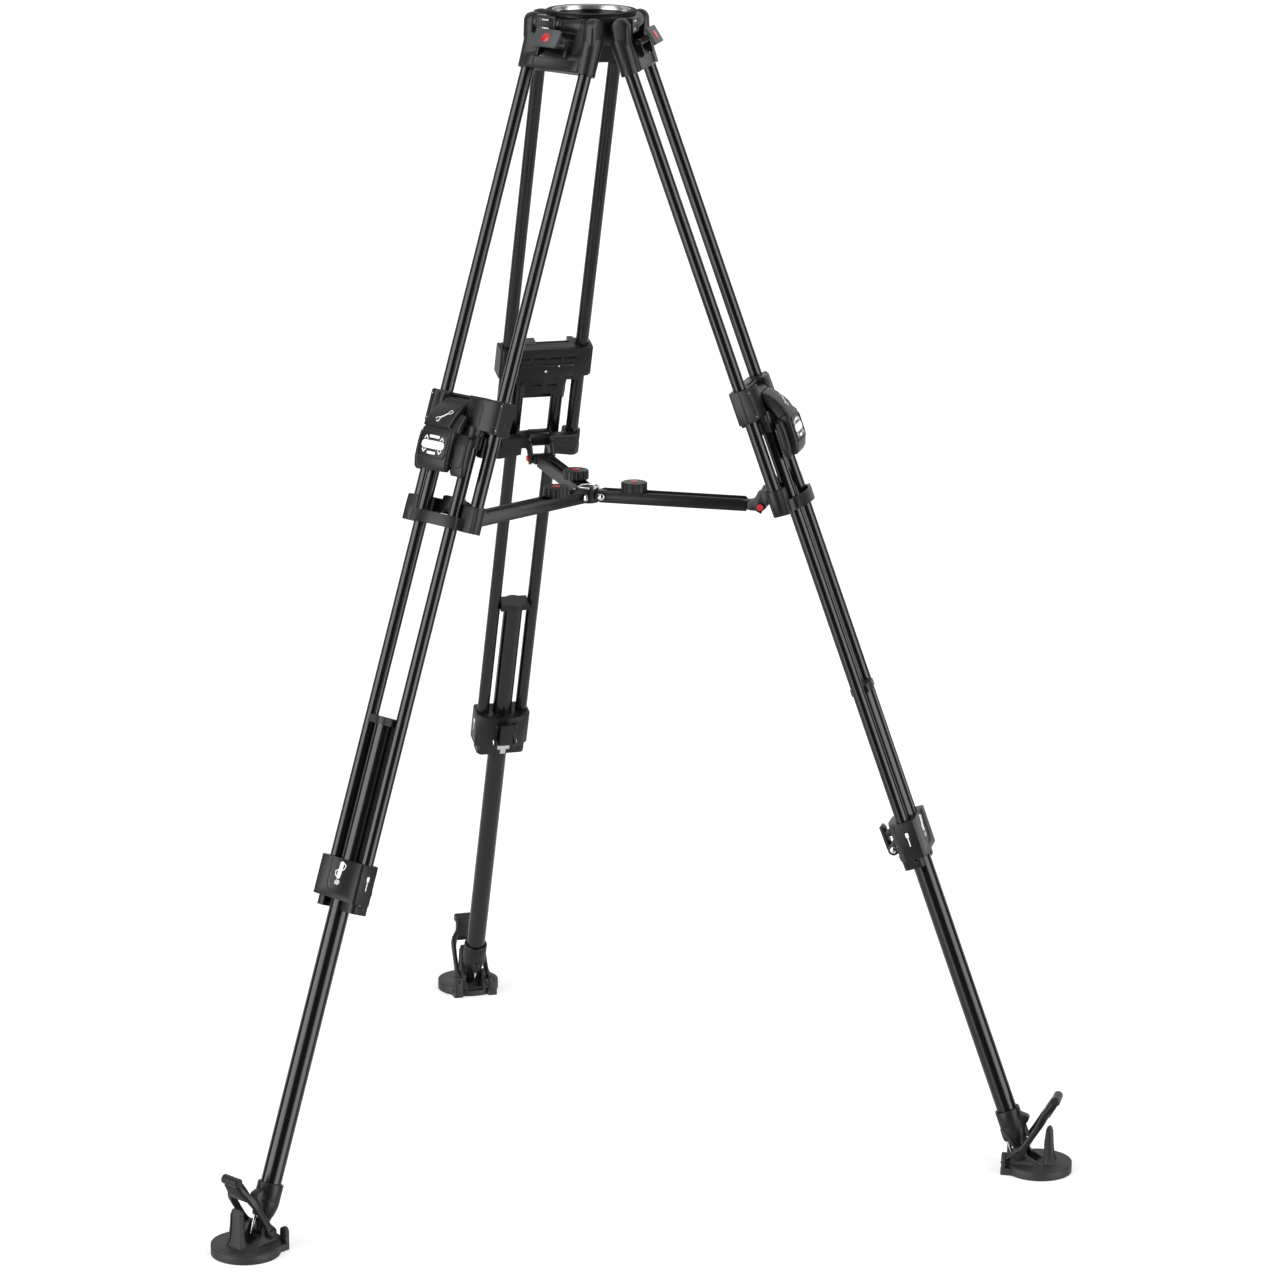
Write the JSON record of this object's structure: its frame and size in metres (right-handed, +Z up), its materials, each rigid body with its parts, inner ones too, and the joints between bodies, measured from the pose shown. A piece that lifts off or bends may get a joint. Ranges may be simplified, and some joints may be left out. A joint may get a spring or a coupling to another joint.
{
  "type": "video tripod",
  "caption": "Three-leg video tripod with twin-tube telescoping legs, an empty half-ball bowl, a mid-level folding spreader and rubber foot shoes.",
  "frame": {"origin": "on the floor, under the middle of the footprint's box; the bowl's axis stands 157.2 mm in front of it at -Y", "axes": "+Z up; one leg points along +Y and the other two lie 120 degrees either side of it, so the tripod is symmetric about the YZ plane"},
  "size_m": [1.1794, 1.0334, 1.54],
  "materials": {
    "black_casting": "matte black powder coat",
    "black_tube": "satin black anodised",
    "bowl_metal": "machined satin",
    "steel": "polished",
    "black_plastic": "fine moulded grain",
    "grey_plastic": "fine moulded grain",
    "red_plastic": "gloss",
    "shoe_rubber": "matte"
  },
  "bodies": {
    "apex": {"apex_casting": "black_casting", "bowl_ring": "bowl_metal", "hinge_pins": "steel"},
    "hub": {"hub_body": "black_plastic"},
    "hub_ring": {"hub_ring": "steel"},
    "leg_a": {"leg_a_shoulder": "black_casting", "leg_a_upper_tubes": "black_tube", "leg_a_spreader_bracket": "black_casting"},
    "tab_a": {"leg_a_angle_tab": "grey_plastic"},
    "mid_a": {"leg_a_lock_housing": "black_casting", "leg_a_middle_tubes": "black_tube", "leg_a_lower_clamp": "black_casting"},
    "quick_lever_a": {"leg_a_quick_lever": "black_plastic"},
    "clamp_lever_a": {"leg_a_clamp_lever": "black_plastic"},
    "low_a": {"leg_a_lower_tube": "black_tube", "leg_a_tube_cap": "black_plastic", "leg_a_foot": "black_casting"},
    "shoe_a": {"leg_a_shoe": "shoe_rubber"},
    "shoe_lever_a": {"leg_a_shoe_lever": "shoe_rubber"},
    "arm_a": {"arm_a_channel": "black_plastic"},
    "slider_a": {"arm_a_slider": "black_plastic", "arm_a_pin": "red_plastic"},
    "knob_a": {"arm_a_knob": "black_plastic"},
    "leg_b": {"leg_b_shoulder": "black_casting", "leg_b_upper_tubes": "black_tube", "leg_b_spreader_bracket": "black_casting"},
    "tab_b": {"leg_b_angle_tab": "grey_plastic"},
    "mid_b": {"leg_b_lock_housing": "black_casting", "leg_b_middle_tubes": "black_tube", "leg_b_lower_clamp": "black_casting"},
    "quick_lever_b": {"leg_b_quick_lever": "black_plastic"},
    "clamp_lever_b": {"leg_b_clamp_lever": "black_plastic"},
    "low_b": {"leg_b_lower_tube": "black_tube", "leg_b_tube_cap": "black_plastic", "leg_b_foot": "black_casting"},
    "shoe_b": {"leg_b_shoe": "shoe_rubber"},
    "shoe_lever_b": {"leg_b_shoe_lever": "shoe_rubber"},
    "arm_b": {"arm_b_channel": "black_plastic"},
    "slider_b": {"arm_b_slider": "black_plastic", "arm_b_pin": "red_plastic"},
    "knob_b": {"arm_b_knob": "black_plastic"},
    "leg_c": {"leg_c_shoulder": "black_casting", "leg_c_upper_tubes": "black_tube", "leg_c_spreader_bracket": "black_casting"},
    "tab_c": {"leg_c_angle_tab": "grey_plastic"},
    "mid_c": {"leg_c_lock_housing": "black_casting", "leg_c_middle_tubes": "black_tube", "leg_c_lower_clamp": "black_casting"},
    "quick_lever_c": {"leg_c_quick_lever": "black_plastic"},
    "clamp_lever_c": {"leg_c_clamp_lever": "black_plastic"},
    "low_c": {"leg_c_lower_tube": "black_tube", "leg_c_tube_cap": "black_plastic", "leg_c_foot": "black_casting"},
    "shoe_c": {"leg_c_shoe": "shoe_rubber"},
    "shoe_lever_c": {"leg_c_shoe_lever": "shoe_rubber"},
    "arm_c": {"arm_c_channel": "black_plastic"},
    "slider_c": {"arm_c_slider": "black_plastic", "arm_c_pin": "red_plastic"},
    "knob_c": {"arm_c_knob": "black_plastic"}
  },
  "joints": [
    {"name": "leg_a_fold", "type": "hinge", "parent": "apex", "child": "leg_a", "pos_m": [-0.04503, -0.18325, 1.524], "axis": [0.5, -0.866, 0], "range_deg": [0, 15]},
    {"name": "leg_b_fold", "type": "hinge", "parent": "apex", "child": "leg_b", "pos_m": [0, -0.10525, 1.524], "axis": [-1, 0, 0], "range_deg": [0, 15]},
    {"name": "leg_c_fold", "type": "hinge", "parent": "apex", "child": "leg_c", "pos_m": [0.04503, -0.18325, 1.524], "axis": [0.5, 0.866, 0], "range_deg": [0, 15]},
    {"name": "hub_lift", "type": "slide", "parent": "apex", "child": "hub", "axis": [0, 0, 1], "range_m": [0, 0.185]},
    {"name": "hub_ring_flip", "type": "hinge", "parent": "hub", "child": "hub_ring", "pos_m": [0, -0.16926, 0.90641], "axis": [1, 0, 0], "range_deg": [0, 100]},
    {"name": "leg_a_angle_release", "type": "hinge", "parent": "leg_a", "child": "tab_a", "pos_m": [-0.05876, -0.19117, 1.50112], "axis": [-0.5, 0.866, 0], "range_deg": [0, 20], "stiffness_Nm_per_rad": 0.4, "springref_deg": -11.46},
    {"name": "leg_a_middle_slide", "type": "slide", "parent": "leg_a", "child": "mid_a", "axis": [0.2976, 0.1718, 0.9391], "range_m": [-0.04, 0.415]},
    {"name": "leg_a_lower_slide", "type": "slide", "parent": "mid_a", "child": "low_a", "axis": [0.2976, 0.1718, 0.9391], "range_m": [-0.12, 0.32]},
    {"name": "leg_a_quick_lever_flip", "type": "hinge", "parent": "mid_a", "child": "quick_lever_a", "pos_m": [-0.19998, -0.27271, 1.04967], "axis": [-0.5, 0.866, 0], "range_deg": [0, 100]},
    {"name": "leg_a_clamp_lever_flip", "type": "hinge", "parent": "mid_a", "child": "clamp_lever_a", "pos_m": [-0.36728, -0.3693, 0.43885], "axis": [-0.5, 0.866, 0], "range_deg": [0, 80]},
    {"name": "leg_a_ankle", "type": "hinge", "parent": "low_a", "child": "shoe_a", "pos_m": [-0.52394, -0.45975, 0.026], "axis": [0.5, -0.866, 0], "range_deg": [-25, 25]},
    {"name": "leg_a_shoe_lever_flip", "type": "hinge", "parent": "shoe_a", "child": "shoe_lever_a", "pos_m": [-0.52394, -0.45975, 0.026], "axis": [0.5, -0.866, 0], "range_deg": [0, 51.6]},
    {"name": "arm_a_fold", "type": "hinge", "parent": "hub", "child": "arm_a", "pos_m": [-0.01732, -0.16725, 0.89601], "axis": [0.5, -0.866, 0], "range_deg": [0, 77.33]},
    {"name": "arm_a_extend", "type": "slide", "parent": "arm_a", "child": "slider_a", "axis": [-0.866, -0.5, 0], "range_m": [0, 0.04]},
    {"name": "arm_a_knob_turn", "type": "hinge", "parent": "slider_a", "child": "knob_a", "pos_m": [-0.05369, -0.18825, 0.89601], "axis": [0, 0, 1], "range_deg": [0, 180]},
    {"name": "leg_b_angle_release", "type": "hinge", "parent": "leg_b", "child": "tab_b", "pos_m": [0, -0.08941, 1.50112], "axis": [1, 0, 0], "range_deg": [0, 20], "stiffness_Nm_per_rad": 0.4, "springref_deg": -11.46},
    {"name": "leg_b_middle_slide", "type": "slide", "parent": "leg_b", "child": "mid_b", "axis": [0, -0.3437, 0.9391], "range_m": [-0.04, 0.415]},
    {"name": "leg_b_lower_slide", "type": "slide", "parent": "mid_b", "child": "low_b", "axis": [0, -0.3437, 0.9391], "range_m": [-0.12, 0.32]},
    {"name": "leg_b_quick_lever_flip", "type": "hinge", "parent": "mid_b", "child": "quick_lever_b", "pos_m": [0, 0.07367, 1.04967], "axis": [1, 0, 0], "range_deg": [0, 100]},
    {"name": "leg_b_clamp_lever_flip", "type": "hinge", "parent": "mid_b", "child": "clamp_lever_b", "pos_m": [0, 0.26685, 0.43885], "axis": [1, 0, 0], "range_deg": [0, 80]},
    {"name": "leg_b_ankle", "type": "hinge", "parent": "low_b", "child": "shoe_b", "pos_m": [0, 0.44775, 0.026], "axis": [-1, 0, 0], "range_deg": [-25, 25]},
    {"name": "leg_b_shoe_lever_flip", "type": "hinge", "parent": "shoe_b", "child": "shoe_lever_b", "pos_m": [0, 0.44775, 0.026], "axis": [-1, 0, 0], "range_deg": [0, 51.6]},
    {"name": "arm_b_fold", "type": "hinge", "parent": "hub", "child": "arm_b", "pos_m": [0, -0.13725, 0.89601], "axis": [-1, 0, 0], "range_deg": [0, 77.33]},
    {"name": "arm_b_extend", "type": "slide", "parent": "arm_b", "child": "slider_b", "axis": [0, 1, 0], "range_m": [0, 0.04]},
    {"name": "arm_b_knob_turn", "type": "hinge", "parent": "slider_b", "child": "knob_b", "pos_m": [0, -0.09525, 0.89601], "axis": [0, 0, 1], "range_deg": [0, 180]},
    {"name": "leg_c_angle_release", "type": "hinge", "parent": "leg_c", "child": "tab_c", "pos_m": [0.05876, -0.19117, 1.50112], "axis": [-0.5, -0.866, 0], "range_deg": [0, 20], "stiffness_Nm_per_rad": 0.4, "springref_deg": -11.46},
    {"name": "leg_c_middle_slide", "type": "slide", "parent": "leg_c", "child": "mid_c", "axis": [-0.2976, 0.1718, 0.9391], "range_m": [-0.04, 0.415]},
    {"name": "leg_c_lower_slide", "type": "slide", "parent": "mid_c", "child": "low_c", "axis": [-0.2976, 0.1718, 0.9391], "range_m": [-0.12, 0.32]},
    {"name": "leg_c_quick_lever_flip", "type": "hinge", "parent": "mid_c", "child": "quick_lever_c", "pos_m": [0.19998, -0.27271, 1.04967], "axis": [-0.5, -0.866, 0], "range_deg": [0, 100]},
    {"name": "leg_c_clamp_lever_flip", "type": "hinge", "parent": "mid_c", "child": "clamp_lever_c", "pos_m": [0.36728, -0.3693, 0.43885], "axis": [-0.5, -0.866, 0], "range_deg": [0, 80]},
    {"name": "leg_c_ankle", "type": "hinge", "parent": "low_c", "child": "shoe_c", "pos_m": [0.52394, -0.45975, 0.026], "axis": [0.5, 0.866, 0], "range_deg": [-25, 25]},
    {"name": "leg_c_shoe_lever_flip", "type": "hinge", "parent": "shoe_c", "child": "shoe_lever_c", "pos_m": [0.52394, -0.45975, 0.026], "axis": [0.5, 0.866, 0], "range_deg": [0, 51.6]},
    {"name": "arm_c_fold", "type": "hinge", "parent": "hub", "child": "arm_c", "pos_m": [0.01732, -0.16725, 0.89601], "axis": [0.5, 0.866, 0], "range_deg": [0, 77.33]},
    {"name": "arm_c_extend", "type": "slide", "parent": "arm_c", "child": "slider_c", "axis": [0.866, -0.5, 0], "range_m": [0, 0.04]},
    {"name": "arm_c_knob_turn", "type": "hinge", "parent": "slider_c", "child": "knob_c", "pos_m": [0.05369, -0.18825, 0.89601], "axis": [0, 0, 1], "range_deg": [0, 180]}
  ],
  "couplings": [
    {"joint": "leg_b_fold", "follows": "leg_a_fold", "ratio": 1},
    {"joint": "leg_c_fold", "follows": "leg_a_fold", "ratio": 1},
    {"joint": "hub_lift", "follows": "leg_a_fold", "m_per_rad": 0.70593},
    {"joint": "arm_a_fold", "follows": "leg_a_fold", "ratio": 5.1523},
    {"joint": "arm_b_fold", "follows": "leg_a_fold", "ratio": 5.1523},
    {"joint": "arm_c_fold", "follows": "leg_a_fold", "ratio": 5.1523}
  ]
}
